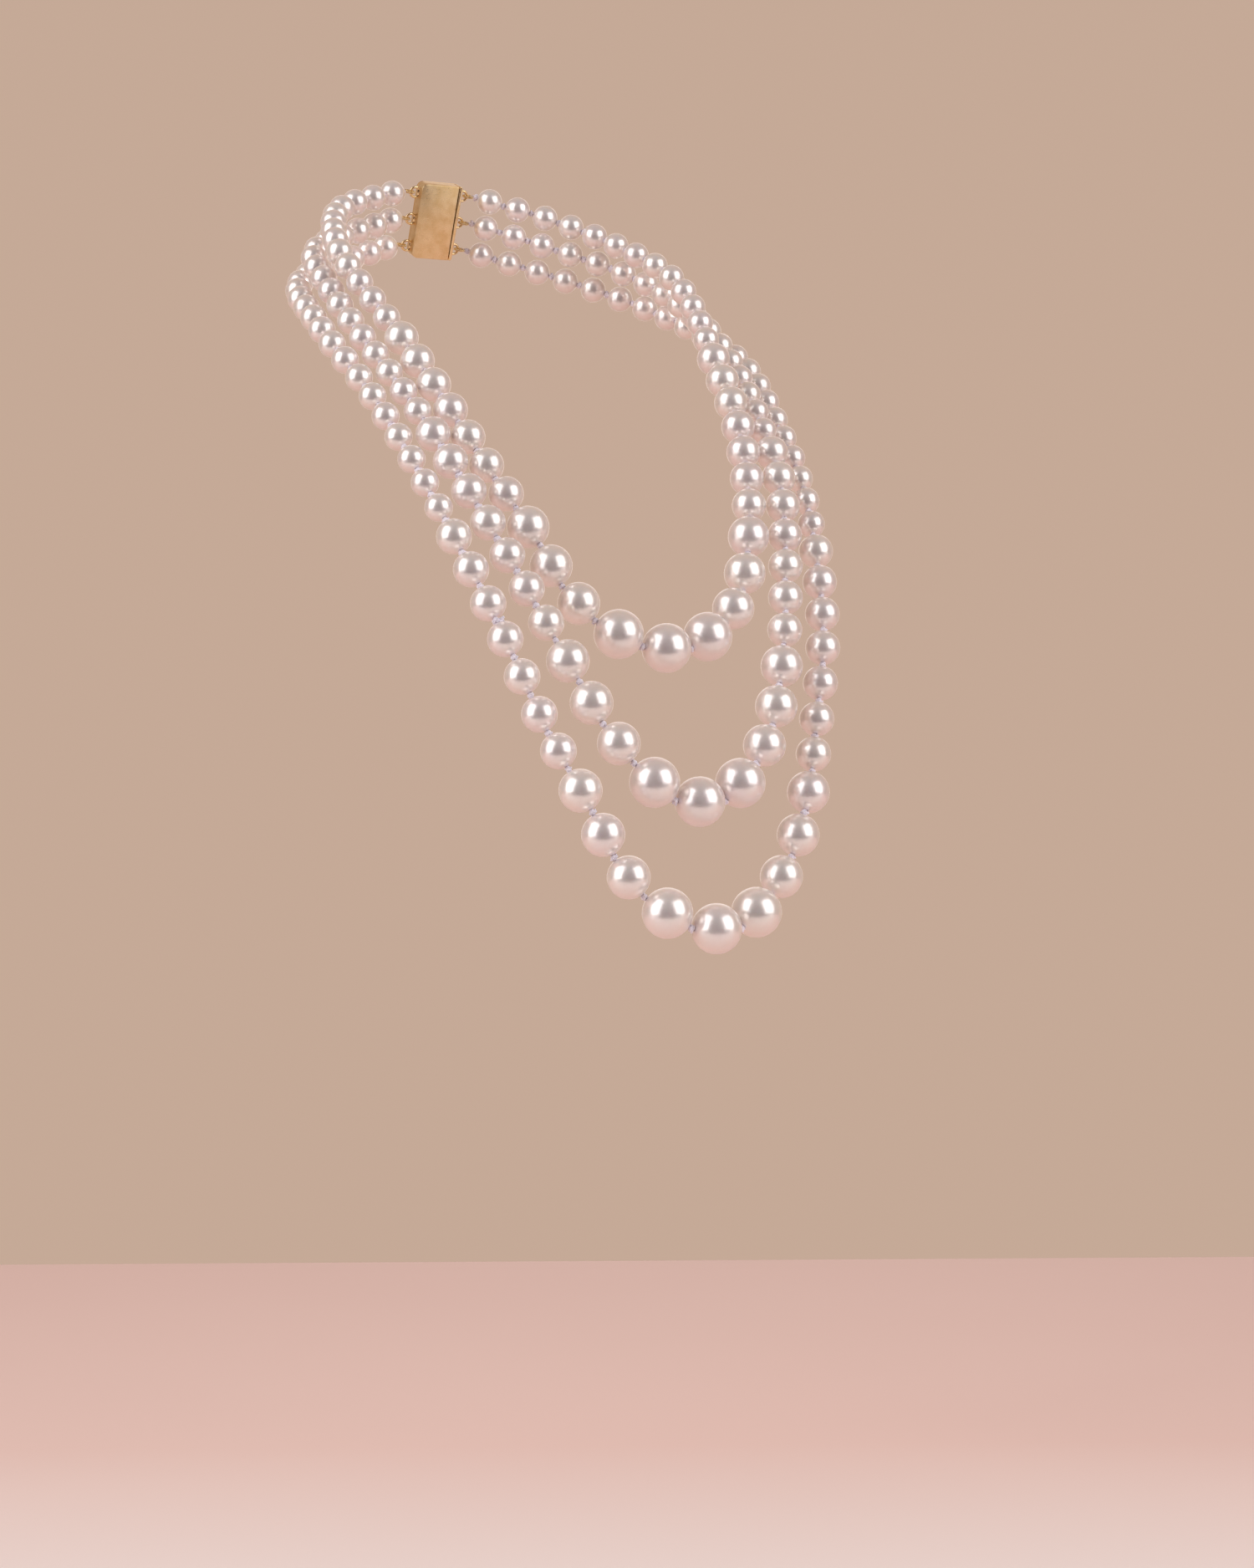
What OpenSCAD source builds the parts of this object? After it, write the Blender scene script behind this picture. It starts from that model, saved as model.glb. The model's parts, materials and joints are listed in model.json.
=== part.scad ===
// Triple-strand graduated pearl necklace, as it lies when worn.
// +Z is up, the front faces -Y, and left is -X as seen from the front.
// The origin is the centre of the neck opening.

/* [Pearls] */
// Diameter of the centre pearl and its two neighbours
centre_d = 14; // [13.8:0.1:14]
// Diameter of the next three pearls on each side
large_d = 12; // [11.8:0.1:12]
// Diameter of the next seven pearls on each side
medium_d = 10; // [9.8:0.1:10]
// Diameter of the rest, up to the clasp
small_d = 8; // [7.8:0.1:8]
// Diameter of the hole drilled through each pearl
drill_d = 1; // [0.9:0.05:1]

/* [Silk thread] */
// Diameter of the thread
thread_d = 0.7; // [0.5:0.05:0.75]
// Gap that a knot holds open between pearls: inner, middle, outer strand
knot_gaps = [1.3, 1.6, 1.6]; // [1.2:0.1:1.8]
// How much wider a knot is than its gap
knot_nestle = 0.1; // [0:0.05:0.15]
// Room between a jointed knot and the thread of the piece that turns on it
thread_end_clearance = 0.1; // [0.1:0.05:0.2]

/* [Strands] */
// Large pearls on each side, next to the centre group
large_count = 3; // [3:3]
// Medium pearls on each side
medium_count = 7; // [7:7]
// Small pearls on each side that swing with the chest: inner, middle, outer
collar_counts = [3, 7, 10]; // [3:10]
// Small pearls on each side that stay on the neck: inner, middle, outer
nape_counts = [10, 10, 11]; // [10:11]

/* [Clasp] */
// Spacing of the three strands at the clasp
row_pitch = 8.7; // [8.6:0.1:9]
// Lean of the clasp, its top towards the neck, in degrees
clasp_lean = 23.5; // [20:0.5:26]
// Length of the closed clasp along the necklace
clasp_length = 14; // [14:0.5:15]
// Height of the clasp across the strands
clasp_height = 24; // [24:0.5:26]
// Depth of the clasp, from the neck outwards
clasp_depth = 5; // [5:0.1:5.5]
// Thickness of the box's walls
wall = 0.7; // [0.6:0.05:0.8]
// Thickness of the top plate
plate = 0.8; // [0.7:0.05:1]
// Thickness of the tongue's end bar
end_bar = 1; // [1:0.05:1.2]
// Gap between the box's mouth and the end bar
mouth_gap = 0.3; // [0.3:0.05:0.4]
// Thickness of the tongue's sheet metal
leaf = 0.4; // [0.35:0.05:0.45]
// Width of the tongue across the strands
tongue_w = 14; // [13:0.5:15]
// Width of the thumb tab
tab_w = 4.6; // [4:0.2:5]
// Wire of the strand loops and of the gimp
loop_wire_d = 0.8; // [0.7:0.05:0.8]
// Radius of a strand loop, to the middle of its wire
loop_r = 1.6; // [1.6:0.05:1.7]
// Radius of a gimp loop, to the middle of its coil
gimp_r = 1.4; // [1.3:0.05:1.4]
// Room between a gimp loop and the strand loop it hangs on
gimp_clearance = 0.2; // [0.2:0.05:0.3]

/* [Hidden] */
$fn = 64;
eps = 0.01;

STRANDS = ["inner", "middle", "outer"];
SIDES = ["left", "right"];
PARTS = ["nape_pearls", "collar_pearls", "chest_pearls", "front_pearls",
         "nape_thread", "chest_thread", "front_thread"];

// Each strand's right half lies along a smooth curve through these points, from the middle of the
// chest to the clasp. The left half mirrors it.
ROUTES = [
    [[0, -98, -122], [24, -92, -110], [35, -82, -87], [43, -66, -65], [48, -50, -46],
     [52, -28, -25], [56, -8, -7], [55, 11, 7], [40, 43, 24], [13, 58, 34]],
    [[0, -117, -167], [22, -113, -150], [33, -104, -127], [42, -91, -102], [52, -71, -71],
     [57, -49, -48], [61, -24, -27], [61, 2, -8], [52, 33, 9], [13, 61, 26]],
    [[0, -127, -201], [22, -120, -188], [34, -116, -165], [43, -106, -142], [52, -95, -113],
     [61, -71, -76], [66, -42, -46], [69, -10, -22], [57, 33, -1], [13, 65, 18]]
];
// Middle of the clasp
clasp_at = [0, 61.5, 26.2];

PEARL = [0.93, 0.88, 0.87];
SILK = [0.86, 0.83, 0.88];
GOLD = [0.83, 0.69, 0.42];

// ---- Where the pearls and knots lie ----

// Diameters of one side's pearls in order, from beside the centre pearl to the clasp
function side_pearls(s) = concat(
    [centre_d],
    [for (i = [1 : large_count]) large_d],
    [for (i = [1 : medium_count]) medium_d],
    [for (i = [1 : collar_counts[s] + nape_counts[s]]) small_d]
);

// Number of the first pearl past the front, chest and collar stretches of a side
front_end = 1 + large_count;
chest_end = front_end + medium_count;
function collar_end(s) = chest_end + collar_counts[s];
function side_end(s) = collar_end(s) + nape_counts[s];

// A route's point number i, with the mirrored point before the first and one in line past the last
function route_point(route, i) =
    let (last = len(route) - 1)
    i < 0 ? [-route[-i].x, route[-i].y, route[-i].z]
    : i > last ? 2 * route[last] - route[last - 1]
    : route[i];

// Smooth curve through the route's points, at t points along
function on_route(route, t) =
    let (
        i = min(floor(t), len(route) - 2),
        u = t - i,
        a = route_point(route, i - 1),
        b = route_point(route, i),
        c = route_point(route, i + 1),
        d = route_point(route, i + 2)
    )
    (2 * b + (c - a) * u + (2 * a - 5 * b + 4 * c - d) * u * u
     + (3 * b - 3 * c + d - a) * u * u * u) / 2;

// The t between low and high where the curve is a given distance from a point, by halving
function reach(route, from, distance, low, high, halvings = 22) =
    let (mid = (low + high) / 2)
    halvings == 0 ? mid
    : norm(on_route(route, mid) - from) < distance
        ? reach(route, from, distance, mid, high, halvings - 1)
        : reach(route, from, distance, low, mid, halvings - 1);

// The t where the curve is a given distance from the plane of symmetry, by halving
function first_reach(route, distance, low = 0, high = 1, halvings = 22) =
    let (mid = (low + high) / 2)
    halvings == 0 ? mid
    : on_route(route, mid).x < distance
        ? first_reach(route, distance, mid, high, halvings - 1)
        : first_reach(route, distance, low, mid, halvings - 1);

// Steps along the curve from one knot to the next: a pearl and a gap apart
function knots_from(route, pearls, gap, t, i = 0) =
    let (here = on_route(route, t))
    i == len(pearls) ? [here]
    : concat([here],
        knots_from(route, pearls, gap, reach(route, here, pearls[i] + gap, t, t + 1.5), i + 1));

// All the knots of a side, from the one beside the centre pearl to the one at the clasp
function side_knots(s, side) =
    let (points = knots_from(ROUTES[s], side_pearls(s), knot_gaps[s],
                             first_reach(ROUTES[s], (centre_d + knot_gaps[s]) / 2)))
    [for (p = points) [side * p.x, p.y, p.z]];

function knot_r(s) = (knot_gaps[s] + knot_nestle) / 2;

// ---- Pearls ----

// Turns what is drawn along +Z so that it runs from a towards b, starting at a
module along(a, b) {
    d = b - a;
    translate(a)
        rotate([0, acos(d.z / norm(d)), atan2(d.y, d.x)])
            children();
}

// A round pearl between two knots, drilled from one to the other
module pearl(a, b, d) {
    color(PEARL)
        along(a, b)
            translate([0, 0, norm(b - a) / 2])
                difference() {
                    sphere(d = d);
                    cylinder(h = d + 2, d = drill_d, center = true);
                }
}

// A side's pearls from number first to number last
module pearl_run(s, side, first, last) {
    knots = side_knots(s, side);
    sizes = side_pearls(s);
    for (i = [first : last])
        pearl(knots[i], knots[i + 1], sizes[i]);
}

module centre_pearl(s) {
    pearl(side_knots(s, -1)[0], side_knots(s, 1)[0], centre_d);
}

// ---- Silk thread with its knots ----

module thread_length(a, b) {
    along(a, b) cylinder(h = norm(b - a), d = thread_d, $fn = 32);
}

// A point short of knot b by the room that a jointed knot needs
function short_of(a, b, s) = b - (b - a) / norm(b - a) * (knot_r(s) + thread_end_clearance);

// A knot on the thread from a to b, at a; its poles and seam are turned away from the thread
module knot(a, b, s) {
    along(a, b) rotate([90, 0, 0]) sphere(r = knot_r(s), $fn = 32);
}

// Thread through a row of knots. A stretch has its own knots at its tied ends; at an end that turns
// on the neighbouring stretch's knot it stops just short of it.
module thread(s, knots, tied_start, tied_end) {
    last = len(knots) - 1;
    color(SILK) {
        for (i = [0 : last - 1]) {
            a = i == 0 && !tied_start ? short_of(knots[1], knots[0], s) : knots[i];
            b = i == last - 1 && !tied_end ? short_of(knots[last - 1], knots[last], s) : knots[i + 1];
            thread_length(a, b);
            if (i > 0 || tied_start) knot(knots[i], knots[i + 1], s);
        }
        if (tied_end) knot(knots[last], knots[last - 1], s);
    }
}

function part_of(list, first, last) = [for (i = [first : last]) list[i]];

module nape_thread(s, side) {
    thread(s, part_of(side_knots(s, side), collar_end(s), side_end(s)), true, true);
}

module chest_thread(s, side) {
    thread(s, part_of(side_knots(s, side), front_end, collar_end(s)), true, false);
}

// The left front thread also goes through the centre pearl and ends in the knot on its right
module left_front_thread(s) {
    thread(s, concat([side_knots(s, 1)[0]], part_of(side_knots(s, -1), 0, front_end)), true, false);
}

module right_front_thread(s) {
    thread(s, part_of(side_knots(s, 1), 0, front_end), false, false);
}

// One stretch of one side of a strand: 0 to 3 are pearls, 4 to 6 are thread
module strand_part(s, side, p) {
    if (p == 0) pearl_run(s, side, collar_end(s), side_end(s) - 1);
    if (p == 1) pearl_run(s, side, chest_end, collar_end(s) - 1);
    if (p == 2) pearl_run(s, side, front_end, chest_end - 1);
    if (p == 3) pearl_run(s, side, 0, front_end - 1);
    if (p == 4) nape_thread(s, side);
    if (p == 5) chest_thread(s, side);
    if (p == 6 && side < 0) left_front_thread(s);
    if (p == 6 && side > 0) right_front_thread(s);
}

// ---- Clasp: x along the necklace with the tongue at +x, y away from the neck, z across the strands ----

box_end = -clasp_length / 2;
bar_outer = clasp_length / 2;
bar_inner = bar_outer - end_bar;
mouth = bar_inner - mouth_gap;
neck_side = -clasp_depth / 2;
cover_side = clasp_depth / 2;
cavity_floor = neck_side + wall;
cavity_roof = cover_side - plate;
end_block = 3;
cavity_h = clasp_height - 2 * end_block;
corner_r = 2;
tongue_to_end = 2.5;
floor_clearance = 0.3;
leaf_clearance = 0.1;
fold_r = 0.45;
fold_x = box_end + tongue_to_end;
fold_y = cavity_floor + floor_clearance + fold_r;
leaf_start = fold_x + fold_r + 0.15;
leaf_low = fold_y - fold_r + leaf + leaf_clearance;
leaf_top = cavity_roof - leaf_clearance;
catch_x = mouth - 1.2;
tab_reach = 1.1;
tab_end = bar_outer + tab_reach;
tab_top = cover_side + 0.8;
notch_clearance = 0.4;
notch_floor = loop_wire_d / 2 + 0.05;
loop_x = bar_outer + loop_r - loop_wire_d / 2;
gimp_x = loop_x + loop_r - loop_wire_d - gimp_clearance + gimp_r;
rows = [1, 0, -1];

module in_clasp() {
    translate(clasp_at) rotate([clasp_lean, 0, 0]) children();
}

// A slab across the strands: x from x0 to x1, y from y0 to y1, height h
module slab(x0, x1, y0, y1, h) {
    translate([x0, y0, -h / 2]) cube([x1 - x0, y1 - y0, h]);
}

// A slab whose corners on the closed end of the box are rounded
module rounded_slab(x0, x1, y0, y1, h, r) {
    translate([0, y1, 0])
        rotate([90, 0, 0])
            linear_extrude(y1 - y0)
                union() {
                    translate([x0 + r, -h / 2]) square([x1 - x0 - r, h]);
                    translate([x0, -h / 2 + r]) square([r + eps, h - 2 * r]);
                    for (z = [-1, 1]) translate([x0 + r, z * (h / 2 - r)]) circle(r);
                }
}

// A strand loop standing on an end face of the clasp, one for each row
module strand_loops(side) {
    for (row = rows)
        translate([side * loop_x, 0, row * row_pitch])
            rotate([90, 0, 0])
                rotate_extrude()
                    translate([loop_r, 0]) circle(d = loop_wire_d, $fn = 24);
}

module clasp_box() {
    color(GOLD) in_clasp() {
        difference() {
            rounded_slab(box_end, mouth, neck_side, cavity_roof, clasp_height, corner_r);
            slab(box_end + wall, mouth + 1, cavity_floor, cavity_roof + 1, cavity_h);
        }
        strand_loops(-1);
    }
}

module clasp_top_plate() {
    color(GOLD) in_clasp()
        rounded_slab(box_end, mouth, cavity_roof, cover_side, clasp_height, corner_r);
}

// End bar with its loops, and the tongue's lower leaf up to the fold
module clasp_tongue() {
    color(GOLD) in_clasp() {
        difference() {
            slab(bar_inner, bar_outer, neck_side, cover_side, clasp_height);
            slab(bar_inner - 1, bar_outer + 1, notch_floor, cover_side + 1,
                 tab_w + 2 * notch_clearance);
        }
        slab(fold_x, bar_inner + eps, fold_y - fold_r, fold_y - fold_r + leaf, tongue_w);
        translate([fold_x, fold_y, 0]) cylinder(h = tongue_w, r = fold_r, center = true);
        strand_loops(1);
    }
}

// The springy upper leaf, with the thumb tab that reaches out through the end bar's notch
module clasp_spring_leaf() {
    color(GOLD) in_clasp() {
        translate([0, 0, -tongue_w / 2])
            linear_extrude(tongue_w)
                polygon([[leaf_start, leaf_low], [leaf_start, leaf_low + leaf],
                         [catch_x, leaf_top], [catch_x, leaf_top - leaf]]);
        translate([0, 0, -tab_w / 2])
            linear_extrude(tab_w)
                polygon([[catch_x - eps, leaf_top - leaf], [catch_x - eps, leaf_top],
                         [tab_end - leaf, leaf_top], [tab_end - leaf, tab_top],
                         [tab_end, tab_top], [tab_end, leaf_top - leaf]]);
    }
}

// Gimp loop on one row of one end of the clasp
module gimp(side, row) {
    color(GOLD) in_clasp()
        translate([side * gimp_x, 0, row * row_pitch])
            rotate_extrude()
                translate([gimp_r, 0]) circle(d = loop_wire_d, $fn = 24);
}

module box_side_gimps() {
    for (row = rows) gimp(-1, row);
}

// ---- Nodes ----

for (s = [0 : 2]) {
    centre_pearl(s);
    gimp(1, rows[s]);
    for (k = [0, 1], p = [0 : 6])
        strand_part(s, 2 * k - 1, p);
}
clasp_box();
clasp_top_plate();
clasp_tongue();
clasp_spring_leaf();
box_side_gimps();
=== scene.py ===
import json
import math
import random

import bmesh
import bpy
import numpy as np
from mathutils import Matrix, Vector

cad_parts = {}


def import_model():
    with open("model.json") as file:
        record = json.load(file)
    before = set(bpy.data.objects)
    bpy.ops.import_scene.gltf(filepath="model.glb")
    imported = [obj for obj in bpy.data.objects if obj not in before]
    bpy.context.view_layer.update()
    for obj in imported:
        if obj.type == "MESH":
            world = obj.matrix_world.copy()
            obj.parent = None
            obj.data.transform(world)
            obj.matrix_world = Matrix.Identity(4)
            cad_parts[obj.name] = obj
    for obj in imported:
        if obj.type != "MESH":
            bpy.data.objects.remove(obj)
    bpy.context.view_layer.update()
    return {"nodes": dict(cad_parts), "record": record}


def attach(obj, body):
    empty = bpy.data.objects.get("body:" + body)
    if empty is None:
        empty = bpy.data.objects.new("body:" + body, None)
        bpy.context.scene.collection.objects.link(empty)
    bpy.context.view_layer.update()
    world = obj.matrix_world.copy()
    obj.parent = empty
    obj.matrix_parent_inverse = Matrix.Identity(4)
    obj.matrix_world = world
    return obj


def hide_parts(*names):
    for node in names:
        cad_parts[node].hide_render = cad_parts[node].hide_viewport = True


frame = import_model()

MM = 0.001

# ---------------------------------------------------------------- sizes

STRANDS = ("inner", "middle", "outer")
PEARL_SIZES = (8 * MM, 10 * MM, 12 * MM, 14 * MM)
DRILL_D = 1.0 * MM
KNOT_GAP = {"inner": 1.3 * MM, "middle": 1.6 * MM, "outer": 1.6 * MM}
STRETCHES = ("front", "chest", "collar", "nape")

PEARL_SEGMENTS = 72
PEARL_RINGS = 44
DRILL_LIP = 0.09 * MM

SWELL_HEIGHT = 0.0011        # of the pearl's radius, for each of a few waves
SWELL_WAVES = 4
SWELL_PITCH = 7.0

PLY_R = 0.25 * MM
PLY_OFFSET = 0.2 * MM
TWIST_PITCH = 2.1 * MM
THREAD_STEP = 0.28 * MM
THREAD_REACH = 0.35 * MM     # how far a knot's ends are led straight into the drill holes
CORE_R = 0.9 * MM
KNOT_HOLE = 0.22
KNOT_SWING = (0.33, 0.39)
BULKY_SWING = 0.55
KNOT_INSET = 0.36 * MM
KNOT_STEPS = 34
HINGE_DRAW = 0.68            # knots the strand swings on are drawn tighter

CLASP_LEAN = math.radians(23.5)


# ---------------------------------------------------------------- reading the frame

def solids(node):
    """The separate solids of a CAD node, as the points of each."""
    data = frame["nodes"][node].data
    points = np.array([v.co for v in data.vertices], float)
    keys, place = np.unique(np.round(points / (0.0001 * MM)), axis=0, return_inverse=True)
    place = place.ravel()
    edges = place[np.array([e.vertices[:] for e in data.edges])]
    label = np.arange(len(keys))
    while True:
        low = np.minimum(label[edges[:, 0]], label[edges[:, 1]])
        new = label.copy()
        np.minimum.at(new, edges[:, 0], low)
        np.minimum.at(new, edges[:, 1], low)
        new = new[new]
        if (new == label).all():
            break
        label = new
    owner = label[place]
    return [points[owner == k] for k in np.unique(owner)]


def pearls_of(node):
    """Centre and diameter of each pearl in a CAD node."""
    found = []
    for points in solids(node):
        low, high = points.min(0), points.max(0)
        width = (high - low).max()
        size = min(PEARL_SIZES, key=lambda d: abs(d - width))
        found.append((Vector((low + high) / 2), size))
    return found


def chain_of(strand, side):
    """One side's pearls in order from the middle of the chest: (node, centre, diameter)."""
    chain = []
    here = pearls_of(strand + "_centre_pearl")[0][0]
    for stretch in STRETCHES:
        node = f"{strand}_{side}_{stretch}_pearls"
        left = pearls_of(node)
        while left:
            nearest = min(left, key=lambda p: (p[0] - here).length)
            left.remove(nearest)
            here = nearest[0]
            chain.append((node, nearest[0], nearest[1]))
    return chain


def knots_of(strand, side, chain):
    """The knots of a side: each pearl's centre is midway between its two knots."""
    centre, size = pearls_of(strand + "_centre_pearl")[0]
    out = Vector((1 if side == "right" else -1, 0, 0))
    knots = [centre + out * (size + KNOT_GAP[strand]) / 2]
    for node, place, diameter in chain:
        knots.append(2 * place - knots[-1])
    return knots


CHAINS = {(s, side): chain_of(s, side) for s in STRANDS for side in ("left", "right")}
KNOTS = {key: knots_of(*key, chain) for key, chain in CHAINS.items()}
BODY_OF = {n: body for body, nodes in frame["record"]["behaviour"]["bodies"].items() for n in nodes}


def stretch_ends(strand, side):
    """How many pearls come before the end of each stretch of a side."""
    names = [node for node, place, diameter in CHAINS[strand, side]]
    return {part: max(i for i, n in enumerate(names) if f"_{part}_" in n) + 1 for part in STRETCHES}


# ---------------------------------------------------------------- node and mesh helpers

def new_material(name):
    material = bpy.data.materials.new(name)
    material.use_nodes = True
    tree = material.node_tree
    return material, tree, tree.nodes["Principled BSDF"]


def add(tree, kind, **values):
    """A shader node; values are its properties, or its inputs by name with _ for a space."""
    node = tree.nodes.new(kind)
    for key, value in values.items():
        if hasattr(node, key):
            setattr(node, key, value)
        else:
            node.inputs[key.replace("_", " ")].default_value = value
    return node


def noise(tree, coords, scale, detail=3.0, roughness=0.5):
    node = add(tree, "ShaderNodeTexNoise", Scale=scale, Detail=detail, Roughness=roughness)
    tree.links.new(coords, node.inputs["Vector"])
    return node.outputs["Fac"]


def mapped(tree, value, low, high, from_low=0.35, from_high=0.65):
    node = add(tree, "ShaderNodeMapRange")
    node.inputs["From Min"].default_value = from_low
    node.inputs["From Max"].default_value = from_high
    node.inputs["To Min"].default_value = low
    node.inputs["To Max"].default_value = high
    tree.links.new(value, node.inputs["Value"])
    return node.outputs["Result"]


def mixed(tree, factor, a, b):
    node = add(tree, "ShaderNodeMix", data_type="RGBA")
    tree.links.new(factor, node.inputs[0])
    for socket, value in ((node.inputs[6], a), (node.inputs[7], b)):
        if isinstance(value, tuple):
            socket.default_value = (*value, 1)
        else:
            tree.links.new(value, socket)
    return node.outputs[2]


def bumped(tree, height, strength, distance, normal=None):
    node = add(tree, "ShaderNodeBump", Strength=strength, Distance=distance)
    tree.links.new(height, node.inputs["Height"])
    if normal:
        tree.links.new(normal, node.inputs["Normal"])
    return node.outputs["Normal"]


def piece(name, verts, faces, material, body, slot, stands_for=(), tone=None):
    """A smooth mesh piece that rides on a body and takes the place of CAD nodes."""
    mesh = bpy.data.meshes.new(name)
    mesh.from_pydata([tuple(v) for v in verts], [], [tuple(f) for f in faces])
    mesh.shade_smooth()
    mesh.materials.append(material)
    if tone is not None:
        mesh.attributes.new("tone", "FLOAT", "POINT").data.foreach_set("value", tone)
    mesh.validate()
    obj = bpy.data.objects.new(name, mesh)
    bpy.context.scene.collection.objects.link(obj)
    finish_piece(obj, body, stands_for)
    return obj


def finish_piece(obj, body, stands_for=()):
    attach(obj, body)
    if stands_for:
        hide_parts(*stands_for)


# ---------------------------------------------------------------- materials

def pearl_material():
    """Nacre: layered lustre over a cream-white body, a little different from pearl to pearl."""
    material, tree, shader = new_material("nacre")
    coords = add(tree, "ShaderNodeTexCoord").outputs["Object"]
    tone = add(tree, "ShaderNodeAttribute", attribute_name="tone").outputs["Fac"]
    body = mixed(tree, tone, (0.98, 0.92, 0.87), (0.96, 0.88, 0.87))
    cloud = mapped(tree, noise(tree, coords, 220.0), 0.0, 0.5)
    body = mixed(tree, cloud, body, (0.98, 0.93, 0.87))
    speckle = mapped(tree, noise(tree, coords, 2600.0, 2.0), 0.0, 0.1)
    body = mixed(tree, speckle, body, (0.82, 0.73, 0.71))
    tree.links.new(body, shader.inputs["Base Color"])
    rough = mapped(tree, noise(tree, coords, 420.0), 0.285, 0.32)
    tree.links.new(rough, shader.inputs["Roughness"])
    fine = bumped(tree, noise(tree, coords, 1500.0, 2.0), 0.06, 0.01 * MM)
    slow = bumped(tree, noise(tree, coords, 260.0, 1.0), 0.25, 0.05 * MM, fine)
    tree.links.new(slow, shader.inputs["Normal"])
    shader.inputs["Metallic"].default_value = 0.6
    shader.inputs["IOR"].default_value = 1.6
    shader.inputs["Subsurface Weight"].default_value = 0.15
    shader.inputs["Subsurface Radius"].default_value = (1.0, 0.65, 0.5)
    shader.inputs["Subsurface Scale"].default_value = 0.7 * MM
    shader.inputs["Coat Weight"].default_value = 0.3
    shader.inputs["Coat Roughness"].default_value = 0.18
    shader.inputs["Coat IOR"].default_value = 1.55
    shader.inputs["Sheen Weight"].default_value = 0.08
    shader.inputs["Sheen Tint"].default_value = (1.0, 0.86, 0.88, 1)
    return material


def silk_material():
    material, tree, shader = new_material("silk")
    coords = add(tree, "ShaderNodeTexCoord").outputs["Object"]
    shade = mapped(tree, noise(tree, coords, 2600.0, 4.0), 0.0, 1.0)
    colour = mixed(tree, shade, (0.93, 0.87, 1.0), (1.0, 0.96, 1.0))
    tree.links.new(colour, shader.inputs["Base Color"])
    fibres = noise(tree, coords, 9000.0, 3.0, 0.65)
    tree.links.new(bumped(tree, fibres, 0.5, 0.03 * MM), shader.inputs["Normal"])
    tree.links.new(mapped(tree, fibres, 0.45, 0.65), shader.inputs["Roughness"])
    shader.inputs["Sheen Weight"].default_value = 0.35
    shader.inputs["Sheen Roughness"].default_value = 0.35
    return material


def gold_material(name, low, high, brushed):
    """Polished or brushed gold with hairline wear."""
    material, tree, shader = new_material(name)
    coords = add(tree, "ShaderNodeTexCoord").outputs["Object"]
    stretch = add(tree, "ShaderNodeMapping")
    stretch.inputs["Scale"].default_value = (1.0, 14.0, 14.0) if brushed else (1.0, 1.0, 1.0)
    tree.links.new(coords, stretch.inputs["Vector"])
    grain = noise(tree, stretch.outputs["Vector"], 700.0, 4.0, 0.6)
    shade = mapped(tree, noise(tree, coords, 350.0), 0.0, 1.0)
    colour = mixed(tree, shade, (0.80, 0.58, 0.29), (0.89, 0.69, 0.40))
    tree.links.new(colour, shader.inputs["Base Color"])
    tree.links.new(mapped(tree, grain, low, high), shader.inputs["Roughness"])
    tree.links.new(bumped(tree, grain, 0.18, 0.02 * MM), shader.inputs["Normal"])
    shader.inputs["Metallic"].default_value = 1.0
    return material


NACRE = pearl_material()
SILK = silk_material()
GOLD = gold_material("polished_gold", 0.12, 0.24, False)
BRUSHED = gold_material("brushed_gold", 0.26, 0.4, True)
GIMP = gold_material("gimp_wire", 0.2, 0.32, False)


# ---------------------------------------------------------------- pearls

def pearl_profile(radius):
    """Closed outline of half a drilled pearl, as (distance from the drill's axis, height)."""
    bore = DRILL_D / 2
    start = math.asin((bore + DRILL_LIP) / radius)
    outer = [start + (math.pi - 2 * start) * i / PEARL_RINGS for i in range(PEARL_RINGS + 1)]
    line = [(radius * math.sin(a), radius * math.cos(a)) for a in outer]
    rim = radius * math.cos(start)
    turns = [math.radians(a) for a in (30, 60, 90)]
    lip = [(bore + DRILL_LIP * (1 - math.sin(a)), rim - DRILL_LIP * (1 - math.cos(a))) for a in turns]
    return line + [(r, -z) for r, z in lip] + lip[::-1]


def pearl_template(size):
    profile = np.array(pearl_profile(size / 2))
    angles = np.arange(PEARL_SEGMENTS) * 2 * math.pi / PEARL_SEGMENTS
    r, z = profile[:, 0][:, None], profile[:, 1][:, None]
    verts = np.stack([r * np.cos(angles), r * np.sin(angles), z + 0 * angles], axis=2)
    count = len(profile)
    i, j = np.meshgrid(np.arange(count), np.arange(PEARL_SEGMENTS), indexing="ij")
    following, beside = (i + 1) % count, (j + 1) % PEARL_SEGMENTS
    quads = np.stack([i * PEARL_SEGMENTS + j, following * PEARL_SEGMENTS + j,
                      following * PEARL_SEGMENTS + beside, i * PEARL_SEGMENTS + beside], axis=2)
    return verts.reshape(-1, 3), quads.reshape(-1, 4)


TEMPLATES = {size: pearl_template(size) for size in PEARL_SIZES}


def uneven(verts, size, rng):
    """A natural pearl is never quite a sphere: slow swells of a few hundredths of a millimetre."""
    swell = np.zeros(len(verts))
    for turn in range(SWELL_WAVES):
        wave = np.array([rng.uniform(-1, 1) for axis in range(3)])
        swell += np.sin(verts @ wave * SWELL_PITCH / size + rng.uniform(0, 6.28))
    squeeze = np.array([1, 1, 1 + rng.uniform(-0.006, 0.004)])
    return verts * squeeze * (1 + SWELL_HEIGHT * swell)[:, None]


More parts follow.
